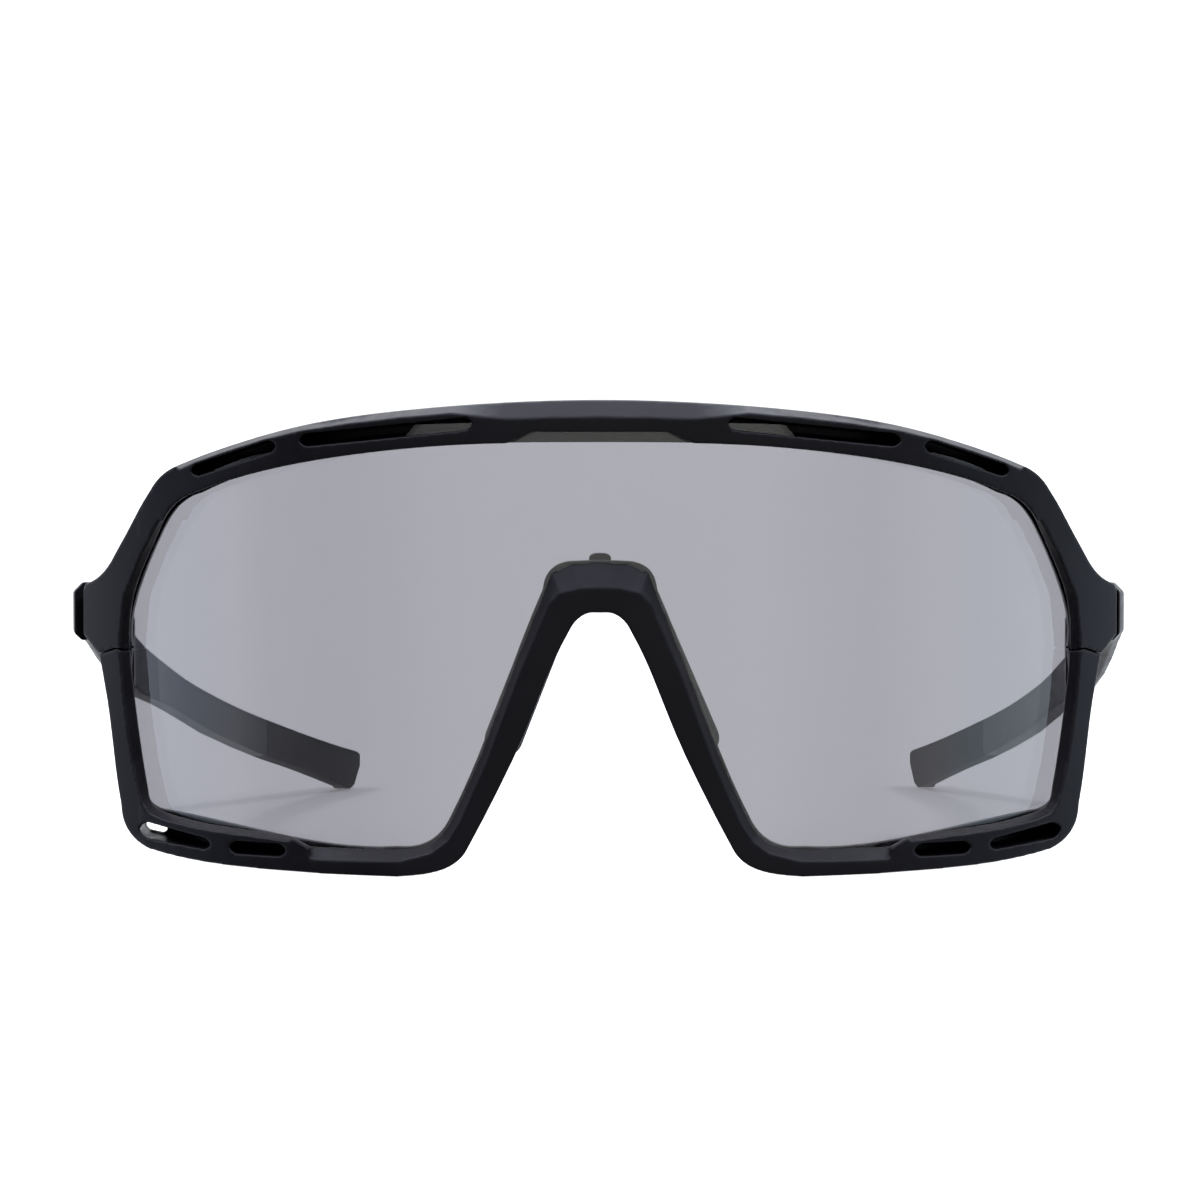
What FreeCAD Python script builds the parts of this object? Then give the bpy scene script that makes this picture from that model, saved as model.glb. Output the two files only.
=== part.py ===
import FreeCAD, Part
import math
import os

# Wraparound sport sunglasses with a detachable lower frame.
# Millimetres. +Z up, the lenses face -Y, +X is the viewer's right.
# The origin is on the table under the middle of the bounding box.

# ---- driving dimensions -------------------------------------------------
DEPTH = 149.5             # front of the brow to the ends of the tips
FACE_RADIUS = 90.0        # front face of the frame: a vertical cylinder
LENS_OUTER = 87.5         # outer face of the lens
LENS_THICKNESS = 2.0
REAR_RADIUS = 83.3        # rear face of the frame
REAR_EDGE = 40.6          # depth at which the cheeks of the lower frame end
GROOVE_GAP = 0.1          # play of the lens in its groove, front and back
SEAM_GAP = 0.15           # gap between the upper and the lower frame

HINGE_X = 68.0            # hinge axis
HINGE_DEPTH = 45.2
LEFT_TURN = 6.5           # the left arm rests turned in by this many degrees
PIN_RADIUS = 0.9
PIN_PLAY = 0.05
KNUCKLE_RADIUS = 2.4
KNUCKLE_BOTTOM = 31.35    # middle knuckle, on the leaf
KNUCKLE_TOP = 34.85
KNUCKLE_GAP = 0.15
FORK_BOTTOM = 28.4
FORK_TOP = 37.6
SLEEVE_START = 117.0      # depth at which the soft sleeve begins
CORE_RADIUS = 0.8

WIRE_RADIUS = 0.6
WIRE_PLAY = 0.05
WIRE_X = 5.6              # pivot of each nose pad wire
WIRE_Z = 38.4
PAD_FOOT = {"left": 13.3, "right": 13.9}   # the two pads are set a little unevenly
PAD_WIDTH = 4.8

V = FreeCAD.Vector
FRONT_Y = -DEPTH / 2
AXIS_Y = FRONT_Y + FACE_RADIUS
SIDES = {"left": -1, "right": 1}

# ---- outlines -----------------------------------------------------------
# Right half, clockwise from the top middle, as (x, z). A span of two points is
# straight, a longer one is a smooth curve.

OUTER = [
    [(0, 63.95), (13.4, 63.55), (26.8, 62.45), (40.4, 60.35), (47.4, 58.5), (54.6, 56.1), (58.2, 54.65)],
    [(58.2, 54.65), (60.4, 53.2), (61.9, 51.3)],
    [(61.9, 51.3), (63.3, 49.15), (65.7, 44.95), (67.0, 42.8), (68.2, 40.8), (69.6, 39.2), (71.9, 37.9)],
    [(71.9, 37.9), (72.5, 36.6)],
    [(72.5, 36.6), (72.5, 31.0)],
    [(72.5, 31.0), (69.8, 28.1)],
    [(69.8, 28.1), (69.3, 25.5), (68.6, 21.9), (67.5, 13.7), (66.5, 7.5)],
    [(66.5, 7.5), (65.7, 4.4), (62.3, 1.75)],
    [(62.3, 1.75), (54.6, 0.65), (46.0, 0.2), (38.0, 0)],
    [(38.0, 0), (27.0, 0)],
    [(27.0, 0), (23.4, 0.45), (20.0, 1.6), (17.6, 4.2)],
    [(17.6, 4.2), (13.5, 12.1), (9.8, 20.1), (6.6, 28.1), (4.0, 33.4)],
    [(4.0, 33.4), (2.6, 35.1), (1.4, 35.65), (0, 35.65)],
]

LIP = [
    [(0, 59.7), (9.2, 59.7)],
    [(9.2, 59.7), (12.4, 58.2)],
    [(12.4, 58.2), (20.0, 57.9), (33.6, 56.5), (47.4, 53.75), (55.6, 51.0)],
    [(55.6, 51.0), (57.9, 49.75), (60.1, 47.0)],
    [(60.1, 47.0), (62.7, 41.6), (64.8, 36.0), (65.3, 29.8), (64.6, 22.2), (63.4, 14.0), (62.6, 9.6)],
    [(62.6, 9.6), (61.9, 7.7), (60.0, 6.8)],
    [(60.0, 6.8), (54.6, 5.8), (47.4, 5.2), (41.8, 4.7)],
    [(41.8, 4.7), (39.4, 3.5)],
    [(39.4, 3.5), (33.6, 3.55), (27.0, 3.65)],
    [(27.0, 3.65), (22.8, 4.5), (19.9, 8.0)],
    [(19.9, 8.0), (16.3, 16.0), (11.8, 28.0), (7.6, 38.6)],
    [(7.6, 38.6), (6.6, 41.2), (4.0, 42.4)],
    [(4.0, 42.4), (0, 42.5)],
]

LENS = [
    [(0, 61.1), (24.8, 60.6)],
    [(24.8, 60.6), (26.6, 58.5)],
    [(26.6, 58.5), (33.6, 57.6), (45.4, 56.6), (53.9, 53.6), (57.4, 51.6)],
    [(57.4, 51.6), (59.6, 50.2), (61.4, 47.0)],
    [(61.4, 47.0), (64.0, 41.0), (66.0, 36.0), (66.4, 29.8), (65.6, 22.2), (64.4, 14.0), (63.6, 9.4)],
    [(63.6, 9.4), (62.8, 7.0), (60.0, 6.1)],
    [(60.0, 6.1), (54.6, 5.2), (47.4, 4.6), (41.0, 3.9)],
    [(41.0, 3.9), (39.0, 2.9), (33.6, 2.75), (26.8, 2.85)],
    [(26.8, 2.85), (22.2, 3.7), (19.1, 7.6)],
    [(19.1, 7.6), (15.5, 15.6), (11.0, 27.6), (6.8, 38.3)],
    [(6.8, 38.3), (5.9, 40.4), (3.9, 41.5)],
    [(3.9, 41.5), (0, 41.6)],
]

REAR = [
    [(0, 58.3), (12.4, 58.2), (20.0, 57.9), (33.6, 56.5), (47.4, 53.75), (54.0, 51.0)],
    [(54.0, 51.0), (57.5, 49.0), (60.2, 44.8), (63.0, 38.4), (64.3, 34.1), (64.4, 29.2)],
    [(64.4, 29.2), (64.6, 22.2), (63.4, 14.0), (62.6, 9.6)],
    [(62.6, 9.6), (61.9, 7.7), (60.0, 6.8)],
    [(60.0, 6.8), (47.4, 5.2), (39.4, 4.0), (27.0, 3.65)],
    [(27.0, 3.65), (22.8, 4.5), (19.9, 8.0)],
    [(19.9, 8.0), (16.3, 16.0), (11.8, 28.0), (7.6, 38.6)],
    [(7.6, 38.6), (6.6, 41.2), (4.0, 42.4)],
    [(4.0, 42.4), (0, 42.5)],
]

SEAM = [(62.0, 29.4), (65.8, 29.0), (67.2, 29.25), (69.6, 28.35), (75.0, 27.0)]

# Bevels on the front edges: the edge point, then the point reached on the face.
BROW_BEVEL = [
    ((0, 63.95), (0, 61.75)), ((6.3, 63.85), (6.3, 61.65)), ((12.6, 63.6), (12.6, 61.45)),
    ((20.0, 63.1), (20.0, 62.2)), ((26.8, 62.45), (26.8, 61.6)), ((33.6, 61.5), (33.6, 60.8)),
    ((40.4, 60.35), (40.4, 59.75)), ((45.5, 59.05), (45.5, 58.5)), ((50.5, 57.5), (50.4, 56.95)),
    ((55.0, 55.95), (54.9, 55.4)), ((58.0, 54.75), (57.8, 54.15)),
]
WINDOW_BEVEL = [
    ((0, 42.5), (0, 39.0)), ((4.0, 42.4), (2.6, 38.9)), ((6.6, 41.2), (5.3, 38.3)),
    ((7.6, 38.6), (6.7, 36.9)), ((11.8, 28.0), (10.7, 27.6)), ((16.3, 16.0), (15.2, 15.6)),
    ((19.9, 8.0), (18.8, 7.5)), ((21.2, 5.9), (20.4, 5.0)), ((22.8, 4.5), (22.6, 3.3)),
    ((27.0, 3.65), (26.8, 2.1)), ((33.6, 3.55), (33.6, 1.9)), ((39.3, 3.55), (39.3, 1.9)),
]
CHEEK_BEVEL = [
    ((60.1, 47.0), (60.5, 47.3)), ((62.7, 41.6), (63.6, 42.0)), ((64.8, 36.0), (66.1, 36.3)),
    ((65.3, 29.8), (66.9, 29.8)), ((64.6, 22.2), (66.2, 22.0)), ((63.4, 14.0), (65.0, 13.8)),
    ((62.6, 9.6), (63.7, 9.2)), ((62.3, 8.5), (63.3, 7.9)), ((61.6, 7.4), (62.3, 6.6)),
    ((60.0, 6.8), (60.3, 5.95)), ((54.6, 5.8), (54.7, 5.1)), ((47.4, 5.2), (47.45, 4.6)),
    ((41.8, 4.7), (41.9, 4.15)),
]

# Vent slots: end centres as (x, z) with the half height at each end.
BROW_VENTS = [
    ((17.9, 60.8, 0.85), (39.6, 58.5, 0.85)),
    ((44.6, 57.6, 0.8), (55.0, 54.2, 0.8)),
]
RIM_VENTS = [
    ((54.0, 3.1, 0.75), (62.6, 4.3, 1.1)),
    ((43.4, 2.9, 0.85), (49.6, 2.9, 0.85)),
]
# The left outer vent opens right through here.
RIM_WINDOW = ((-62.9, 4.25, 0.65), (-60.8, 4.0, 0.6))

# Right arm seen from above, as (x, depth), and from the side, as (depth, z).
ARM_OUTSIDE = [(72.7, 36.9), (73.7, 40.5), (74.0, 46.0), (73.2, 60.0), (72.1, 70.0),
               (69.5, 90.0), (65.2, 110.0), (59.7, 128.0), (52.9, 149.7)]
ARM_INSIDE = [(50.4, 148.4), (56.8, 127.0), (62.0, 109.0), (66.1, 89.3), (68.5, 70.0), (69.4, 58.0)]
ARM_ROOT = [(69.4, 58.0), (66.8, 50.0), (66.8, 45.2), (68.6, 43.2), (72.7, 36.9)]
ARM_TOP = [(36.0, 37.9), (44.0, 37.5), (51.0, 35.6), (59.0, 31.4), (67.0, 27.7), (77.0, 24.4), (86.7, 21.3),
           (97.0, 18.4), (108.0, 15.4), (118.5, 12.7), (128.0, 10.3), (138.0, 7.9), (147.4, 5.9)]
ARM_BOTTOM = [(145.0, 0.0), (136.0, 2.5), (127.0, 4.9), (118.0, 7.1), (108.0, 9.8), (98.5, 12.4),
              (89.5, 15.1), (77.0, 18.3), (65.2, 21.0), (60.6, 22.7), (55.5, 24.9), (50.0, 27.4), (36.0, 29.4)]

# Bevel along the arm's outer edges, as (depth, size).
ARM_BEVEL = [(37.0, 1.2), (40.5, 1.3), (45.0, 1.4), (50.0, 1.4), (55.5, 1.3), (61.0, 1.2), (68.0, 1.1),
             (78.0, 1.0), (88.0, 0.9), (99.0, 0.8), (110.0, 0.8), (120.0, 0.8), (130.0, 0.8), (138.0, 0.8),
             (144.8, 0.8)]


# ---- helpers ------------------------------------------------------------
def at(x, depth, z):
    """A point at this depth behind the front of the brow."""
    return V(x, FRONT_Y + depth, z)


def span(points):
    """One edge: a line through two points, a smooth curve through more."""
    if len(points) == 2:
        return Part.LineSegment(points[0], points[1]).toShape()
    curve = Part.BSplineCurve()
    curve.interpolate(points)
    return curve.toShape()


def mirrored(outline):
    """The whole closed outline from its right half."""
    left = [[(-x, z) for x, z in reversed(part)] for part in reversed(outline)]
    top = left[-1][:-1] + outline[0]
    bottom = outline[-1] + left[0][1:]
    return [top] + outline[1:-1] + [bottom] + left[1:-1]


def prism(loop, near=-5.0, far=70.0):
    """A closed (x, z) outline drawn out along Y between two depths."""
    edges = [span([at(x, near, z) for x, z in part]) for part in loop]
    return Part.Face(Part.Wire(edges)).extrude(V(0, far - near, 0))


def ring(inner, outer):
    """The front half of a vertical tube round the face axis."""
    centre = V(0, AXIS_Y, -10)
    tube = Part.makeCylinder(outer, 90, centre).cut(Part.makeCylinder(inner, 90, centre))
    return tube.common(Part.makeBox(200, FACE_RADIUS + 5, 90, V(-100, FRONT_Y - 5, -10)))


def slot(ends):
    """A round-ended slot outline whose two ends may differ in height."""
    (x0, z0, r0), (x1, z1, r1) = ends
    length = math.hypot(x1 - x0, z1 - z0)
    ax, az = (x1 - x0) / length, (z1 - z0) / length
    low = [(x0 + az * r0, z0 - ax * r0), (x1 + az * r1, z1 - ax * r1)]
    high = [(x1 - az * r1, z1 + ax * r1), (x0 - az * r0, z0 + ax * r0)]
    nose = [low[1], (x1 + ax * r1, z1 + az * r1), high[0]]
    tail = [high[1], (x0 - ax * r0, z0 - az * r0), low[0]]
    return [low, nose, high, tail]


def both(loop):
    """An outline and its mirror image."""
    return [loop, [[(-x, z) for x, z in part] for part in loop]]


def mirror(shape):
    return shape.mirror(V(0, 0, 0), V(1, 0, 0))


def rod(start, end, radius):
    """A round bar between two points, with round ends."""
    bar = Part.makeCylinder(radius, (end - start).Length, start, end - start)
    return bar.fuse([Part.makeSphere(radius, start), Part.makeSphere(radius, end)]).removeSplitter()


def upright(radius, bottom, top, x=HINGE_X, depth=HINGE_DEPTH):
    """A vertical cylinder, on the right hinge axis unless told otherwise."""
    return Part.makeCylinder(radius, top - bottom, at(x, depth, bottom))


def brow_side(lift):
    """Everything on the brow's side of the seam, with the seam moved up by lift."""
    right = [(x, z + lift) for x, z in SEAM]
    left = [(-x, z) for x, z in reversed(right)]
    corners = left + [(-45, 48), (45, 48)] + right + [(75, 90), (-75, 90), left[0]]
    return prism([[a, b] for a, b in zip(corners, corners[1:])])


# ---- frame and lens -----------------------------------------------------
def recess(x):
    """How far the face lies behind the front of the brow at this x."""
    return FACE_RADIUS - math.sqrt(FACE_RADIUS ** 2 - x ** 2)


def bevel(lines):
    """Wedges that take off a front edge, from the lens depth to a line on the face.

    Each entry holds the edge point (x, z) and the point (x, z) the bevel reaches.
    """
    reach = FACE_RADIUS - LENS_OUTER
    wedges = []
    for sign in (-1, 1):
        for pair in zip(lines, lines[1:]):
            sections = []
            for (ex, ez), (fx, fz) in pair:
                wx, wz = ex - fx, ez - fz
                deep = at(sign * (ex + 0.08 * wx), recess(ex) + 1.08 * reach, ez + 0.08 * wz)
                low = at(sign * (fx - 0.3 * wx), recess(fx) - 0.3 * reach, fz - 0.3 * wz)
                out = at(sign * (ex + 0.5 * wx), recess(ex) - 0.5 * reach, ez + 0.5 * wz)
                sections.append(Part.makePolygon([deep, low, out, deep]))
            wedges.append(Part.makeLoft(sections, True, True))
    return wedges


def main_body(shape):
    """The shape without the loose slivers a cut can leave."""
    return max(shape.Solids, key=lambda solid: solid.Volume)


def make_frames():
    groove_front = LENS_OUTER + GROOVE_GAP
    groove_back = LENS_OUTER - LENS_THICKNESS - GROOVE_GAP
    body = ring(REAR_RADIUS, FACE_RADIUS).common(prism(mirrored(OUTER)))
    body = body.cut(prism(mirrored(LIP)).common(ring(groove_front, FACE_RADIUS + 2)))
    body = body.cut(prism(mirrored(LENS)).common(ring(groove_back, groove_front)))
    body = body.cut(prism(mirrored(REAR)).common(ring(REAR_RADIUS - 2, groove_back)))
    blind = ring(REAR_RADIUS + 1.0, FACE_RADIUS + 2)
    for vent in BROW_VENTS + RIM_VENTS:
        for loop in both(slot(vent)):
            body = body.cut(prism(loop).common(blind))
    body = body.cut(prism(slot(RIM_WINDOW)))
    upper = body.common(brow_side(0))
    lower = body.cut(brow_side(-SEAM_GAP))
    blunt = Part.makeBox(200, 40, 60, at(-100, REAR_EDGE, -10))
    upper = upper.cut(bevel(BROW_BEVEL) + bevel(CHEEK_BEVEL))
    lower = lower.cut(bevel(WINDOW_BEVEL) + bevel(CHEEK_BEVEL) + [blunt])
    return upper, lower


def make_lens():
    body = ring(LENS_OUTER - LENS_THICKNESS, LENS_OUTER)
    return body.common(prism(mirrored(LENS)))


def lug_relief():
    """Space behind the right lug: a mitred rear face and room for the knuckles."""
    corners = [(72.6, 36.3), (68.4, 42.7), (65.4, 43.0), (65.4, 60.0), (80.0, 60.0), (80.0, 36.3), (72.6, 36.3)]
    wire = Part.makePolygon([at(x, depth, 26.0) for x, depth in corners])
    wedge = Part.Face(wire).extrude(V(0, 0, 16))
    return wedge.fuse(upright(KNUCKLE_RADIUS + 0.25, 26.0, 42.0))


# ---- hinge, arm and tip (right side) ------------------------------------
def make_leaf():
    knuckle = upright(KNUCKLE_RADIUS, KNUCKLE_BOTTOM, KNUCKLE_TOP)
    plate = Part.makeBox(1.4, 9.2, KNUCKLE_TOP - KNUCKLE_BOTTOM, at(HINGE_X - 1.4, 36.0, KNUCKLE_BOTTOM))
    hook = Part.makeBox(1.2, 1.6, KNUCKLE_TOP - KNUCKLE_BOTTOM, at(HINGE_X, 36.6, KNUCKLE_BOTTOM))
    leaf = knuckle.fuse([plate, hook])
    return leaf.cut(upright(PIN_RADIUS + PIN_PLAY, 25, 42)).removeSplitter()


def make_pin():
    shank = upright(PIN_RADIUS, FORK_BOTTOM + 0.3, FORK_TOP - 0.3)
    head = upright(1.6, FORK_TOP - 1.1, FORK_TOP - 0.3)
    drive = Part.makeBox(0.5, 2.4, 0.5, at(HINGE_X - 0.25, HINGE_DEPTH - 1.2, FORK_TOP - 0.7))
    return shank.fuse(head).removeSplitter().cut(drive)


def follow(line, depth):
    """The value at this depth on a smooth line given as (depth, value) points."""
    curve = Part.BSplineCurve()
    curve.interpolate([V(a, b, 0) for a, b in line])
    samples = curve.discretize(400)
    near, far = next((a, b) for a, b in zip(samples, samples[1:]) if b.x >= depth)
    return near.y + (far.y - near.y) * (depth - near.x) / (far.x - near.x)


def arm_bevel(line, sign):
    """Wedges that take off the arm's outer edge along its top (sign -1) or bottom (sign 1)."""
    plan = [(depth, x) for x, depth in ARM_OUTSIDE]
    sections = []
    for depth, size in ARM_BEVEL:
        x, z = follow(plan, depth), follow(line, depth)
        inner = at(x - 1.3 * size, depth, z - 0.3 * sign * size)
        outer = at(x + 0.3 * size, depth, z + 1.3 * sign * size)
        sections.append(Part.makePolygon([inner, outer, at(x + size, depth, z - sign * size), inner]))
    return [Part.makeLoft(list(pair), True, True) for pair in zip(sections, sections[1:])]


def make_arm_blank():
    """The whole arm with its tip: the plan outline crossed with the side outline."""
    plan = [ARM_OUTSIDE, [ARM_OUTSIDE[-1], ARM_INSIDE[0]], ARM_INSIDE]
    plan += [[a, b] for a, b in zip(ARM_ROOT, ARM_ROOT[1:])]
    plan_wire = Part.Wire([span([at(x, depth, -5) for x, depth in part]) for part in plan])
    end_top, end_low = (DEPTH, 4.9), (DEPTH - 3.0, 0.6)
    side = [ARM_TOP, [ARM_TOP[-1], end_top], [end_top, end_low],
            [end_low, ARM_BOTTOM[0]], ARM_BOTTOM, [ARM_BOTTOM[-1], ARM_TOP[0]]]
    side_wire = Part.Wire([span([at(40, depth, z) for depth, z in part]) for part in side])
    plan_solid = Part.Face(plan_wire).extrude(V(0, 0, 60))
    side_solid = Part.Face(side_wire).extrude(V(50, 0, 0))
    blank = plan_solid.common(side_solid)
    return blank.cut(arm_bevel(ARM_TOP, -1) + arm_bevel(ARM_BOTTOM[::-1], 1))


def make_arm(blank, core, pin):
    low = upright(KNUCKLE_RADIUS, FORK_BOTTOM, FORK_TOP)
    arm = blank.common(Part.makeBox(200, SLEEVE_START, 90, at(-100, 0, -10)))
    arm = arm.fuse(low).removeSplitter()
    bottom = KNUCKLE_BOTTOM - KNUCKLE_GAP
    height = KNUCKLE_TOP - KNUCKLE_BOTTOM + 2 * KNUCKLE_GAP
    clear = KNUCKLE_RADIUS + 0.2
    slot_round = upright(clear, bottom, bottom + height)
    slot_front = Part.makeBox(clear + 10, 12, height, at(HINGE_X - 10, HINGE_DEPTH - 12, bottom))
    slot_inner = Part.makeBox(10, clear + 10, height, at(HINGE_X - 10, HINGE_DEPTH - 10, bottom))
    arm = arm.cut([slot_round, slot_front, slot_inner])
    return arm.cut(pin).cut(core)


def make_core():
    return rod(at(64.2, 107.0, 12.9), at(53.3, 143.0, 3.7), CORE_RADIUS)


def make_sleeve(blank, core):
    sleeve = blank.cut(Part.makeBox(200, SLEEVE_START, 90, at(-100, 0, -10)))
    return sleeve.cut(core)


def make_clip():
    """Tab behind the right end of the seam, with a peg into each frame."""
    corners = [(64.5, 23.3), (66.4, 23.3), (66.4, 33.0), (64.5, 33.0), (64.5, 23.3)]
    plate = prism([[a, b] for a, b in zip(corners, corners[1:])])
    plate = plate.common(ring(REAR_RADIUS - 1.2, REAR_RADIUS))
    pegs = [Part.makeCylinder(0.6, 3.2, at(65.6, 36.5, z), V(0, 1, 0)) for z in (26.0, 31.0)]
    return plate.fuse(pegs).removeSplitter()


# ---- nose piece ---------------------------------------------------------
def make_carrier():
    half = [
        [(0, 43.4), (0.9, 43.3), (1.45, 42.9)],
        [(1.45, 42.9), (1.5, 42.0)],
        [(1.5, 42.0), (4.4, 41.6), (7.2, 40.2)],
        [(7.2, 40.2), (7.2, 36.8)],
        [(7.2, 36.8), (4.0, 36.8)],
        [(4.0, 36.8), (2.6, 37.6), (0, 37.8)],
    ]
    plate = prism(mirrored(half)).common(ring(REAR_RADIUS - 1.8, REAR_RADIUS))
    for sign in (-1, 1):
        boss = Part.makeCylinder(1.6, 4.4, at(sign * WIRE_X, 7.6, WIRE_Z), V(0, 1, 0))
        bore = Part.makeCylinder(WIRE_RADIUS + WIRE_PLAY, 4.4, at(sign * WIRE_X, 8.4, WIRE_Z), V(0, 1, 0))
        plate = plate.fuse(boss).cut(bore)
    peg = Part.makeCylinder(0.9, 3.2, at(0, 5.2, 39.4), V(0, 1, 0))
    return plate.fuse(peg).removeSplitter()


def pad_line(side):
    """Top and foot of the pad's long axis, on the right."""
    return V(6.4, 0, 34.6), V(PAD_FOOT[side], 0, 17.0)


def make_wire(side):
    """The pad's core: a pivot pin along Y, then a leg down inside the pad."""
    top, foot = pad_line(side)
    along = (foot - top).normalize()
    pivot = at(WIRE_X, 8.7, WIRE_Z)
    elbow = at(WIRE_X, 13.0, WIRE_Z)
    end = at(top.x, 13.0, top.z) + along * 15
    pin = Part.makeCylinder(WIRE_RADIUS, 4.3, pivot, V(0, 1, 0))
    return pin.fuse(rod(elbow, end, WIRE_RADIUS)).removeSplitter()


def stadium(side, depth, width, length, shift):
    """A long rounded outline square to Y, lined up with the pad's axis."""
    top, foot = pad_line(side)
    along = (foot - top).normalize()
    across = V(-along.z, 0, along.x)
    centre = (top + foot) * 0.5 + across * shift + V(0, FRONT_Y + depth, 0)
    half, radius = length / 2 - width / 2, width / 2
    corners = [centre + along * a * half + across * b * radius for a, b in ((-1, -1), (1, -1), (1, 1), (-1, 1))]
    foot_arc = Part.Arc(corners[1], centre + along * (half + radius), corners[2]).toShape()
    top_arc = Part.Arc(corners[3], centre - along * (half + radius), corners[0]).toShape()
    side_in = Part.LineSegment(corners[0], corners[1]).toShape()
    side_out = Part.LineSegment(corners[2], corners[3]).toShape()
    return Part.Wire([side_in, foot_arc, side_out, top_arc])


def make_pad(side, wire):
    sections = [
        stadium(side, 9.6, PAD_WIDTH - 1.6, 18.6, 0.0),
        stadium(side, 11.2, PAD_WIDTH, 21.2, 0.0),
        stadium(side, 14.6, PAD_WIDTH - 0.4, 21.4, 0.3),
        stadium(side, 17.4, PAD_WIDTH - 2.2, 18.2, 0.9),
    ]
    return Part.makeLoft(sections, True, False).cut(wire)


# ---- assembly -----------------------------------------------------------
def place_arm(shape, side):
    """Right as built; left mirrored and turned in about its hinge."""
    if side == "right":
        return shape
    turned = mirror(shape)
    turned.rotate(at(-HINGE_X, HINGE_DEPTH, 0), V(0, 0, 1), -LEFT_TURN)
    return turned


def build():
    parts = {}
    upper, lower = make_frames()
    parts["shield_lens"] = make_lens()
    carrier = make_carrier()
    parts["nose_carrier"] = carrier
    lower = lower.cut(carrier)
    leaf = make_leaf()
    pin = make_pin()
    core = make_core()
    clip = make_clip()
    blank = make_arm_blank()
    arm = make_arm(blank, core, pin)
    sleeve = make_sleeve(blank, core)
    relief = lug_relief()
    for side, sign in SIDES.items():
        own = (lambda shape: shape) if sign > 0 else mirror
        upper = upper.cut([own(relief), own(leaf), own(clip)])
        lower = lower.cut([own(relief), own(clip)])
        parts["hinge_leaf_" + side] = own(leaf)
        parts["seam_clip_" + side] = own(clip)
        wire = make_wire(side)
        parts["pad_wire_" + side] = own(wire)
        parts["nose_pad_" + side] = own(make_pad(side, wire))
        parts["hinge_pin_" + side] = place_arm(pin, side)
        parts["temple_arm_" + side] = place_arm(arm, side)
        parts["tip_core_" + side] = place_arm(core, side)
        parts["temple_tip_" + side] = place_arm(sleeve, side)
    parts["upper_frame"] = main_body(upper)
    parts["lower_frame"] = main_body(lower)
    return parts


os.makedirs("parts", exist_ok=True)
for name, shape in build().items():
    shape.exportStep("parts/" + name + ".step")
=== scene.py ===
import bpy
import bmesh
import math
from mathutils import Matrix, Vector
from mathutils.geometry import delaunay_2d_cdt


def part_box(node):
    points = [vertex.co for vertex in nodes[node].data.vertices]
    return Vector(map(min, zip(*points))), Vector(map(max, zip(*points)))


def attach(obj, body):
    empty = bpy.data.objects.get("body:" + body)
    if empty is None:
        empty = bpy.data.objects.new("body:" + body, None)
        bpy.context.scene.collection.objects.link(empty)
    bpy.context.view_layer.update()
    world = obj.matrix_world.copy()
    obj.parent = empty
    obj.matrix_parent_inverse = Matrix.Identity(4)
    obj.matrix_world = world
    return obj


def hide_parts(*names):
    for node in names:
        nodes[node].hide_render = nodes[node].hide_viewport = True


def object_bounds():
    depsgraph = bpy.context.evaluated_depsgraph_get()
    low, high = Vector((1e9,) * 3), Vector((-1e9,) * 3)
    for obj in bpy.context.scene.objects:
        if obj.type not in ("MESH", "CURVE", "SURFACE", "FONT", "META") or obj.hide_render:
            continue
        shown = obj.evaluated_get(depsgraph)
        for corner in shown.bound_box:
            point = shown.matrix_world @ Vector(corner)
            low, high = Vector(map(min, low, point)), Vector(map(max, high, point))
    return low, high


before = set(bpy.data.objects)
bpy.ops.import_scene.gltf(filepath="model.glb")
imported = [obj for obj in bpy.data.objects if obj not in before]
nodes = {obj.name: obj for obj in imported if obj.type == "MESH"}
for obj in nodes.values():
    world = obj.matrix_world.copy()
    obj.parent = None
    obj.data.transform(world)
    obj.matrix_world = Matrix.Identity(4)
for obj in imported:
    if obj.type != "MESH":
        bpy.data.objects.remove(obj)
cad_low, cad_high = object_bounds()
MM = 0.001

# The face of the frame is a vertical cylinder, and these match the CAD.
FRONT_Y = cad_low.y
FACE_RADIUS = 90 * MM
LENS_OUTER = 87.5 * MM
LENS_INNER = 85.5 * MM
AXIS_Y = FRONT_Y + FACE_RADIUS

# Fineness of the meshes.
ON_CYLINDER = 0.02 * MM     # how close to the cylinder a vertex of its face lies
RIM_STEP = 0.7 * MM         # spacing of the points round the lens's edge
GRID_STEP = 1.0 * MM        # spacing of the points inside the lens
GRID_CLEARANCE = 0.6        # grid points stay this many steps inside the edge
SHARP_EDGE = math.radians(25)
LENS_SHARP_EDGE = math.radians(40)

# Fineness of the surface textures, as noise scales per metre.
COLOUR_DRIFT = 90
ROUGHNESS_DRIFT = 600
GRAIN_STRENGTH = 0.18

# Lights.
COVE = 1.5                  # brightness of the white background
SUN = 4.6                   # strength of each of the two side lights
SUN_SPREAD = math.radians(9)
SUN_ASIDE = 0.58            # the direction towards each side light: sideways, back, up
SUN_BACK = 0.05
SUN_UP = 0.81
TOP = 5.2                   # brightness of the large overhead light
TOP_STARTS = 0.42           # upward part of a direction where the overhead light begins
TOP_FULL = 0.82             # and where it is at full strength
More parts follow.
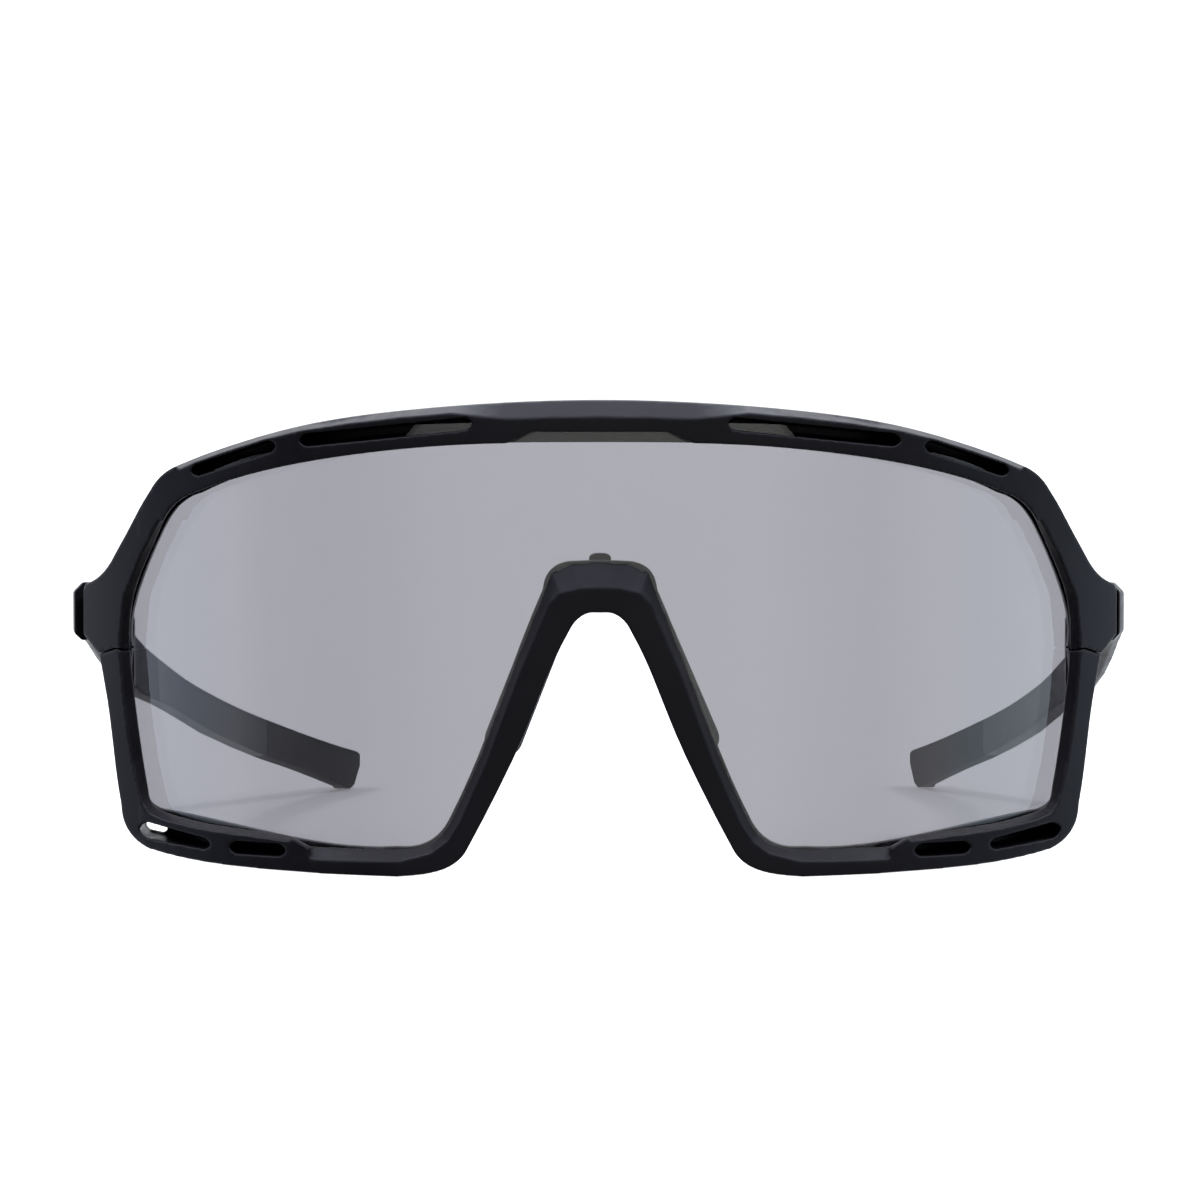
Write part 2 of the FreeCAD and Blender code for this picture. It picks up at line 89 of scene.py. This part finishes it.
# What surrounds the object at lens height: side (-1 left, 1 right), degrees from the front, colour.
ROOM = [
    (-1, 179, (1.40, 1.42, 1.45)), (-1, 110, (1.30, 1.40, 1.60)), (-1, 86, (0.66, 0.80, 1.05)),
    (-1, 74, (0.66, 0.71, 0.78)), (-1, 65, (0.17, 0.17, 0.20)), (-1, 54, (0.06, 0.06, 0.06)),
    (-1, 46, (0.14, 0.14, 0.14)), (-1, 32, (0.66, 0.64, 0.64)), (-1, 22, (0.84, 0.82, 0.80)),
    (1, 16, (0.86, 0.90, 0.80)), (1, 30, (0.92, 0.96, 0.88)), (1, 42, (0.60, 0.60, 0.56)),
    (1, 53, (0.44, 0.44, 0.42)), (1, 66, (0.84, 0.84, 0.88)), (1, 76, (0.78, 0.98, 1.10)),
    (1, 110, (1.20, 1.35, 1.60)), (1, 179, (1.40, 1.42, 1.45)),
]
FLOOR_RADIUS = 3.0
FLOOR_DROP = 0.1 * MM       # the floor lies this far below the object
FLOOR_SHADE = 0.12
FLOOR_GLOW = 0.46           # light that the floor gives off by itself
FLOOR_GLOW_DIRECT = 0.6     # and what is added where it is seen directly

LENS_SHADOW = (0.62, 0.615, 0.65, 1)    # how much of a lamp's light the lens lets through

# Camera.
CAMERA_DISTANCE = 0.700
CAMERA_HEIGHT = 0.07245
AIM_HEIGHT = 0.0374
FOCAL_LENGTH = 158.1
SENSOR_WIDTH = 36


# ---- node helpers ---------------------------------------------------------
def new_material(name):
    material = bpy.data.materials.new(name)
    material.use_nodes = True
    tree = material.node_tree
    tree.nodes.clear()
    output = tree.nodes.new("ShaderNodeOutputMaterial")
    shader = tree.nodes.new("ShaderNodeBsdfPrincipled")
    tree.links.new(shader.outputs[0], output.inputs[0])
    return material, tree, shader, output


def place(tree):
    return tree.nodes.new("ShaderNodeTexCoord").outputs["Object"]


def noise(tree, where, scale, detail=3.0, roughness=0.5):
    node = tree.nodes.new("ShaderNodeTexNoise")
    node.inputs["Scale"].default_value = scale
    node.inputs["Detail"].default_value = detail
    node.inputs["Roughness"].default_value = roughness
    tree.links.new(where, node.inputs["Vector"])
    return node.outputs[0]


def ramp(tree, value, stops):
    node = tree.nodes.new("ShaderNodeValToRGB")
    band = node.color_ramp
    while len(band.elements) < len(stops):
        band.elements.new(0.5)
    for element, (position, colour) in zip(band.elements, stops):
        element.position = position
        element.color = (*colour, 1) if len(colour) == 3 else colour
    tree.links.new(value, node.inputs[0])
    return node.outputs[0]


def spread(tree, value, low, high, start=0.3, end=0.7):
    node = tree.nodes.new("ShaderNodeMapRange")
    node.inputs["From Min"].default_value = start
    node.inputs["From Max"].default_value = end
    node.inputs["To Min"].default_value = low
    node.inputs["To Max"].default_value = high
    tree.links.new(value, node.inputs["Value"])
    return node.outputs[0]


def maths(tree, kind, a, b):
    node = tree.nodes.new("ShaderNodeMath")
    node.operation = kind
    for socket, value in zip(node.inputs, (a, b)):
        if isinstance(value, (int, float)):
            socket.default_value = value
        else:
            tree.links.new(value, socket)
    return node.outputs[0]


def bump(tree, shader, height, strength, distance):
    node = tree.nodes.new("ShaderNodeBump")
    node.inputs["Strength"].default_value = strength
    node.inputs["Distance"].default_value = distance
    tree.links.new(height, node.inputs["Height"])
    tree.links.new(node.outputs[0], shader.inputs["Normal"])


# ---- materials --------------------------------------------------------------
def moulded(name, dark, light, rough, grain, depth, specular):
    """Moulded plastic or rubber: fine spark-eroded grain, slow colour drift and paler convex edges, a
    painted highlight.
    """
    material, tree, shader, _ = new_material(name)
    where = place(tree)
    drift = noise(tree, where, COLOUR_DRIFT, 4)
    base = ramp(tree, drift, [(0.3, dark), (0.7, light)])
    # Painted highlight: convex edges are mixed towards a paler colour, as if light caught their bevels.
    edge = tree.nodes.new("ShaderNodeNewGeometry").outputs["Pointiness"]
    edge_highlight = spread(tree, edge, 0.0, 0.5, 0.53, 0.60)
    mix = tree.nodes.new("ShaderNodeMix")
    mix.data_type = "RGBA"
    tree.links.new(edge_highlight, mix.inputs[0])
    tree.links.new(base, mix.inputs[6])
    mix.inputs[7].default_value = (*[2.0 * c + 0.002 for c in light], 1)
    tree.links.new(mix.outputs[2], shader.inputs["Base Color"])
    fine = noise(tree, where, grain, 2, 0.6)
    coarse = noise(tree, where, grain * 0.3, 3, 0.6)
    height = maths(tree, "ADD", fine, maths(tree, "MULTIPLY", coarse, 0.6))
    bump(tree, shader, height, GRAIN_STRENGTH, depth)
    sheen = spread(tree, noise(tree, where, ROUGHNESS_DRIFT, 3), rough - 0.04, rough + 0.06)
    tree.links.new(sheen, shader.inputs["Roughness"])
    shader.inputs["Specular IOR Level"].default_value = specular
    shader.inputs["Specular Tint"].default_value = (0.88, 0.90, 1.0, 1)
    return material


def metal(name, colour, rough):
    """Bright drawn metal with fine streaks of tint and roughness."""
    material, tree, shader, _ = new_material(name)
    where = place(tree)
    shader.inputs["Metallic"].default_value = 1.0
    tint = noise(tree, where, 900, 3)
    shades = ramp(tree, tint, [(0.3, [c * 0.85 for c in colour]), (0.7, colour)])
    tree.links.new(shades, shader.inputs["Base Color"])
    sheen = spread(tree, noise(tree, where, 5000, 2), rough - 0.05, rough + 0.1)
    tree.links.new(sheen, shader.inputs["Roughness"])
    bump(tree, shader, noise(tree, where, 8000, 2), 0.2, 0.01 * MM)
    return material


def tinted_lens():
    """Clear tinted polycarbonate. Light from a lamp passes straight through, so its shadow is soft grey."""
    material, tree, shader, output = new_material("tinted_lens")
    where = place(tree)
    shader.inputs["Transmission Weight"].default_value = 1.0
    shader.inputs["IOR"].default_value = 1.56
    shader.inputs["Specular IOR Level"].default_value = 0.5
    drift = noise(tree, where, 14, 2)
    low, high = (0.316, 0.311, 0.336), (0.324, 0.319, 0.344)
    tree.links.new(ramp(tree, drift, [(0.3, low), (0.7, high)]), shader.inputs["Base Color"])
    tree.links.new(spread(tree, noise(tree, where, 300, 4), 0.0, 0.012), shader.inputs["Roughness"])
    clear = tree.nodes.new("ShaderNodeBsdfTransparent")
    clear.inputs[0].default_value = LENS_SHADOW
    paths = tree.nodes.new("ShaderNodeLightPath")
    mix = tree.nodes.new("ShaderNodeMixShader")
    tree.links.new(paths.outputs["Is Shadow Ray"], mix.inputs[0])
    tree.links.new(shader.outputs[0], mix.inputs[1])
    tree.links.new(clear.outputs[0], mix.inputs[2])
    tree.links.new(mix.outputs[0], output.inputs[0])
    return material


# Each row: darker colour, lighter colour, roughness, grain scale, grain depth, specular level.
NYLON = moulded(
    "frame_nylon", (0.0023, 0.0021, 0.0029), (0.0033, 0.0031, 0.0041), 0.34, 9000, 0.005 * MM, 0.09)
ARM_NYLON = moulded(
    "arm_nylon", (0.0027, 0.0025, 0.0034), (0.0038, 0.0036, 0.0047), 0.36, 9000, 0.004 * MM, 0.10)
RUBBER = moulded(
    "soft_rubber", (0.0026, 0.0025, 0.0031), (0.0038, 0.0037, 0.0044), 0.55, 7000, 0.006 * MM, 0.06)
CARRIER = moulded(
    "carrier_plastic", (0.0050, 0.0050, 0.0060), (0.0075, 0.0075, 0.0088), 0.36, 8000, 0.004 * MM, 0.12)
STEEL = metal("drawn_steel", (0.56, 0.56, 0.58), 0.32)
LENS = tinted_lens()
LENS_EDGE = moulded(
    "lens_edge", (0.006, 0.008, 0.022), (0.010, 0.013, 0.034), 0.30, 6000, 0.003 * MM, 0.30)


# ---- shape helpers ----------------------------------------------------------
def soften(node, name, body, material, voxel, rounds):
    """A CAD node's own shape with its edges rounded, as a moulding has them. The voxel is in millimetres."""
    mesh = nodes[node].data.copy()
    piece = bpy.data.objects.new(name, mesh)
    bpy.context.scene.collection.objects.link(piece)
    mesh.materials.clear()
    mesh.materials.append(material)
    mesh.shade_smooth()
    mesh.set_sharp_from_angle(angle=SHARP_EDGE)
    remesh = piece.modifiers.new("even_mesh", "REMESH")
    remesh.mode = "VOXEL"
    remesh.voxel_size = voxel * MM
    remesh.use_smooth_shade = True
    smooth = piece.modifiers.new("round_edges", "SMOOTH")
    smooth.factor = 0.5
    smooth.iterations = rounds
    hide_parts(node)
    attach(piece, body)
    return piece


def dress(node, material):
    """Give a CAD node that stays in view its material."""
    mesh = nodes[node].data
    mesh.materials.clear()
    mesh.materials.append(material)


def front_patch(mesh, radius):
    """Boundary loop of the faces that lie on the vertical cylinder of this radius, as (x, z) in order."""
    def on_it(index):
        point = mesh.vertices[index].co
        return abs(math.hypot(point.x, point.y - AXIS_Y) - radius) < ON_CYLINDER

    uses = {}
    for polygon in mesh.polygons:
        if all(on_it(index) for index in polygon.vertices):
            for key in polygon.edge_keys:
                uses[key] = uses.get(key, 0) + 1
    links = {}
    for (a, b), count in uses.items():
        if count == 1:
            links.setdefault(a, []).append(b)
            links.setdefault(b, []).append(a)
    loops = []
    left = set(links)
    while left:
        start = min(left)
        loop, last, here = [start], None, start
        while True:
            left.discard(here)
            ahead = [n for n in links[here] if n != last]
            last, here = here, ahead[0]
            if here == start:
                break
            loop.append(here)
        loops.append(loop)
    longest = max(loops, key=len)
    return [(mesh.vertices[i].co.x, mesh.vertices[i].co.z) for i in longest]


def inside(point, loop):
    """Whether a point lies inside a closed line."""
    x, z = point
    hit = False
    for (ax, az), (bx, bz) in zip(loop, loop[1:] + loop[:1]):
        if (az > z) != (bz > z) and x < ax + (z - az) / (bz - az) * (bx - ax):
            hit = not hit
    return hit


def even_loop(loop, step):
    """The same closed line with its long edges divided."""
    out = []
    for (ax, az), (bx, bz) in zip(loop, loop[1:] + loop[:1]):
        parts = max(1, round(math.hypot(bx - ax, bz - az) / step))
        out += [(ax + (bx - ax) * i / parts, az + (bz - az) * i / parts) for i in range(parts)]
    return out


def make_lens():
    """The shield as two true cylinder faces on a fine even mesh, joined by its rim."""
    loop = even_loop(front_patch(nodes["shield_lens"].data, LENS_OUTER), RIM_STEP)
    grid = []
    low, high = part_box("shield_lens")
    for i in range(int((high[0] - low[0]) / GRID_STEP)):
        for k in range(int((high[2] - low[2]) / GRID_STEP)):
            spot = (low[0] + (i + 0.5) * GRID_STEP, low[2] + (k + 0.5) * GRID_STEP)
            near = min(math.hypot(spot[0] - x, spot[1] - z) for x, z in loop)
            if near > GRID_CLEARANCE * GRID_STEP and inside(spot, loop):
                grid.append(spot)
    flat = [Vector(p) for p in loop + grid]
    count = len(loop)
    edges = [(i, (i + 1) % count) for i in range(count)]
    points, _, faces = delaunay_2d_cdt(flat, edges, [], 1, 1e-9)[:3]
    shape = bmesh.new()
    sheets = []
    for radius in (LENS_OUTER, LENS_INNER):
        sheet = [(p.x, AXIS_Y - math.sqrt(radius ** 2 - p.x ** 2), p.y) for p in points]
        sheets.append([shape.verts.new(spot) for spot in sheet])
    for face in faces:
        shape.faces.new([sheets[0][i] for i in face])
        shape.faces.new([sheets[1][i] for i in reversed(face)])
    rim = [edge for edge in shape.edges if len(edge.link_faces) == 1]
    for face in bmesh.ops.bridge_loops(shape, edges=rim)["faces"]:
        face.material_index = 1
    bmesh.ops.recalc_face_normals(shape, faces=shape.faces)
    mesh = bpy.data.meshes.new("shield")
    shape.to_mesh(mesh)
    shape.free()
    mesh.shade_smooth()
    mesh.set_sharp_from_angle(angle=LENS_SHARP_EDGE)
    mesh.materials.append(LENS)
    mesh.materials.append(LENS_EDGE)
    piece = bpy.data.objects.new("shield", mesh)
    bpy.context.scene.collection.objects.link(piece)
    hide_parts("shield_lens")
    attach(piece, "front")
    return piece


# ---- pieces -----------------------------------------------------------------
# Each call: CAD node, piece, body, material, voxel in mm, smoothing rounds.
make_lens()
soften("upper_frame", "brow_frame", "front", NYLON, 0.22, 5)
soften("lower_frame", "rim_frame", "front", NYLON, 0.22, 5)
soften("nose_carrier", "nose_bracket", "front", CARRIER, 0.12, 3)
for side in ("left", "right"):
    soften("temple_arm_" + side, "arm_" + side, "arm_" + side, ARM_NYLON, 0.15, 14)
    soften("temple_tip_" + side, "tip_sleeve_" + side, "arm_" + side, RUBBER, 0.15, 10)
    pad = soften("nose_pad_" + side, "pad_" + side, "pad_" + side, RUBBER, 0.2, 6)
    soften("seam_clip_" + side, "clip_" + side, "front", NYLON, 0.12, 3)
    for node in ("hinge_leaf_", "hinge_pin_", "tip_core_", "pad_wire_"):
        dress(node + side, STEEL)

# ---- studio -----------------------------------------------------------------
scene = bpy.context.scene
scene.view_settings.view_transform = "Standard"
scene.view_settings.look = "None"


def studio_world():
    """A white cove behind; in front and at the sides, what a studio shows a glossy curved lens."""
    world = bpy.data.worlds.new("studio")
    scene.world = world
    world.use_nodes = True
    tree = world.node_tree
    tree.nodes.clear()
    output = tree.nodes.new("ShaderNodeOutputWorld")
    white = tree.nodes.new("ShaderNodeBackground")
    white.inputs[1].default_value = COVE
    room = tree.nodes.new("ShaderNodeBackground")
    where = tree.nodes.new("ShaderNodeTexCoord").outputs["Generated"]
    split = tree.nodes.new("ShaderNodeSeparateXYZ")
    tree.links.new(where, split.inputs[0])
    angle = maths(tree, "ARCTAN2", split.outputs[0], maths(tree, "MULTIPLY", split.outputs[1], -1.0))
    turn = maths(tree, "ADD", maths(tree, "DIVIDE", angle, 2 * math.pi), 0.5)
    around = ramp(tree, turn, [(0.5 + side * degrees / 360, shade) for side, degrees, shade in ROOM])
    up = spread(tree, split.outputs[2], 0.0, 1.0, TOP_STARTS, TOP_FULL)
    mix = tree.nodes.new("ShaderNodeMix")
    mix.data_type = "RGBA"
    tree.links.new(up, mix.inputs[0])
    tree.links.new(around, mix.inputs[6])
    mix.inputs[7].default_value = (TOP * 0.95, TOP * 0.98, TOP * 1.08, 1)
    tree.links.new(mix.outputs[2], room.inputs[0])
    paths = tree.nodes.new("ShaderNodeLightPath")
    seen = maths(tree, "MAXIMUM", paths.outputs["Is Camera Ray"], paths.outputs["Is Transmission Ray"])
    choose = tree.nodes.new("ShaderNodeMixShader")
    tree.links.new(seen, choose.inputs[0])
    tree.links.new(room.outputs[0], choose.inputs[1])
    tree.links.new(white.outputs[0], choose.inputs[2])
    tree.links.new(choose.outputs[0], output.inputs[0])


def floor():
    """A round white floor. A glossy surface sees the room instead of it."""
    mesh = bpy.data.meshes.new("floor")
    turns = [a * math.pi / 24 for a in range(48)]
    ring = [(FLOOR_RADIUS * math.cos(a), FLOOR_RADIUS * math.sin(a), -FLOOR_DROP) for a in turns]
    mesh.from_pydata(ring, [], [list(range(len(ring)))])
    piece = bpy.data.objects.new("floor", mesh)
    scene.collection.objects.link(piece)
    material, tree, shader, output = new_material("floor_white")
    shader.inputs["Base Color"].default_value = (FLOOR_SHADE, FLOOR_SHADE, FLOOR_SHADE, 1)
    shader.inputs["Emission Color"].default_value = (1, 1, 1, 1)
    shader.inputs["Roughness"].default_value = 0.8
    shader.inputs["Specular IOR Level"].default_value = 0.1
    clear = tree.nodes.new("ShaderNodeBsdfTransparent")
    paths = tree.nodes.new("ShaderNodeLightPath")
    direct = maths(tree, "MULTIPLY", paths.outputs["Is Camera Ray"], FLOOR_GLOW_DIRECT)
    tree.links.new(maths(tree, "ADD", direct, FLOOR_GLOW), shader.inputs["Emission Strength"])
    mirror = maths(tree, "SUBTRACT", paths.outputs["Is Glossy Ray"], paths.outputs["Is Transmission Ray"])
    mix = tree.nodes.new("ShaderNodeMixShader")
    tree.links.new(maths(tree, "MAXIMUM", mirror, 0.0), mix.inputs[0])
    tree.links.new(shader.outputs[0], mix.inputs[1])
    tree.links.new(clear.outputs[0], mix.inputs[2])
    tree.links.new(mix.outputs[0], output.inputs[0])
    mesh.materials.append(material)


def side_sun(side):
    """Soft light from high on one side; it draws the arms' faint shadows on the floor."""
    data = bpy.data.lights.new("side_sun", "SUN")
    data.energy = SUN
    data.angle = SUN_SPREAD
    lamp = bpy.data.objects.new("side_sun", data)
    lamp.rotation_euler = Vector((side * SUN_ASIDE, SUN_BACK, SUN_UP)).to_track_quat("Z", "Y").to_euler()
    scene.collection.objects.link(lamp)
    lamp.visible_glossy = False


studio_world()
floor()
for side in (-1, 1):
    side_sun(side)

camera_data = bpy.data.cameras.new("camera")
camera = bpy.data.objects.new("camera", camera_data)
scene.collection.objects.link(camera)
scene.camera = camera
camera_data.sensor_width = SENSOR_WIDTH
camera_data.lens = FOCAL_LENGTH
camera.location = (0, FRONT_Y - CAMERA_DISTANCE, CAMERA_HEIGHT)
target = Vector((0, FRONT_Y, AIM_HEIGHT))
camera.rotation_euler = (target - camera.location).to_track_quat("-Z", "Y").to_euler()
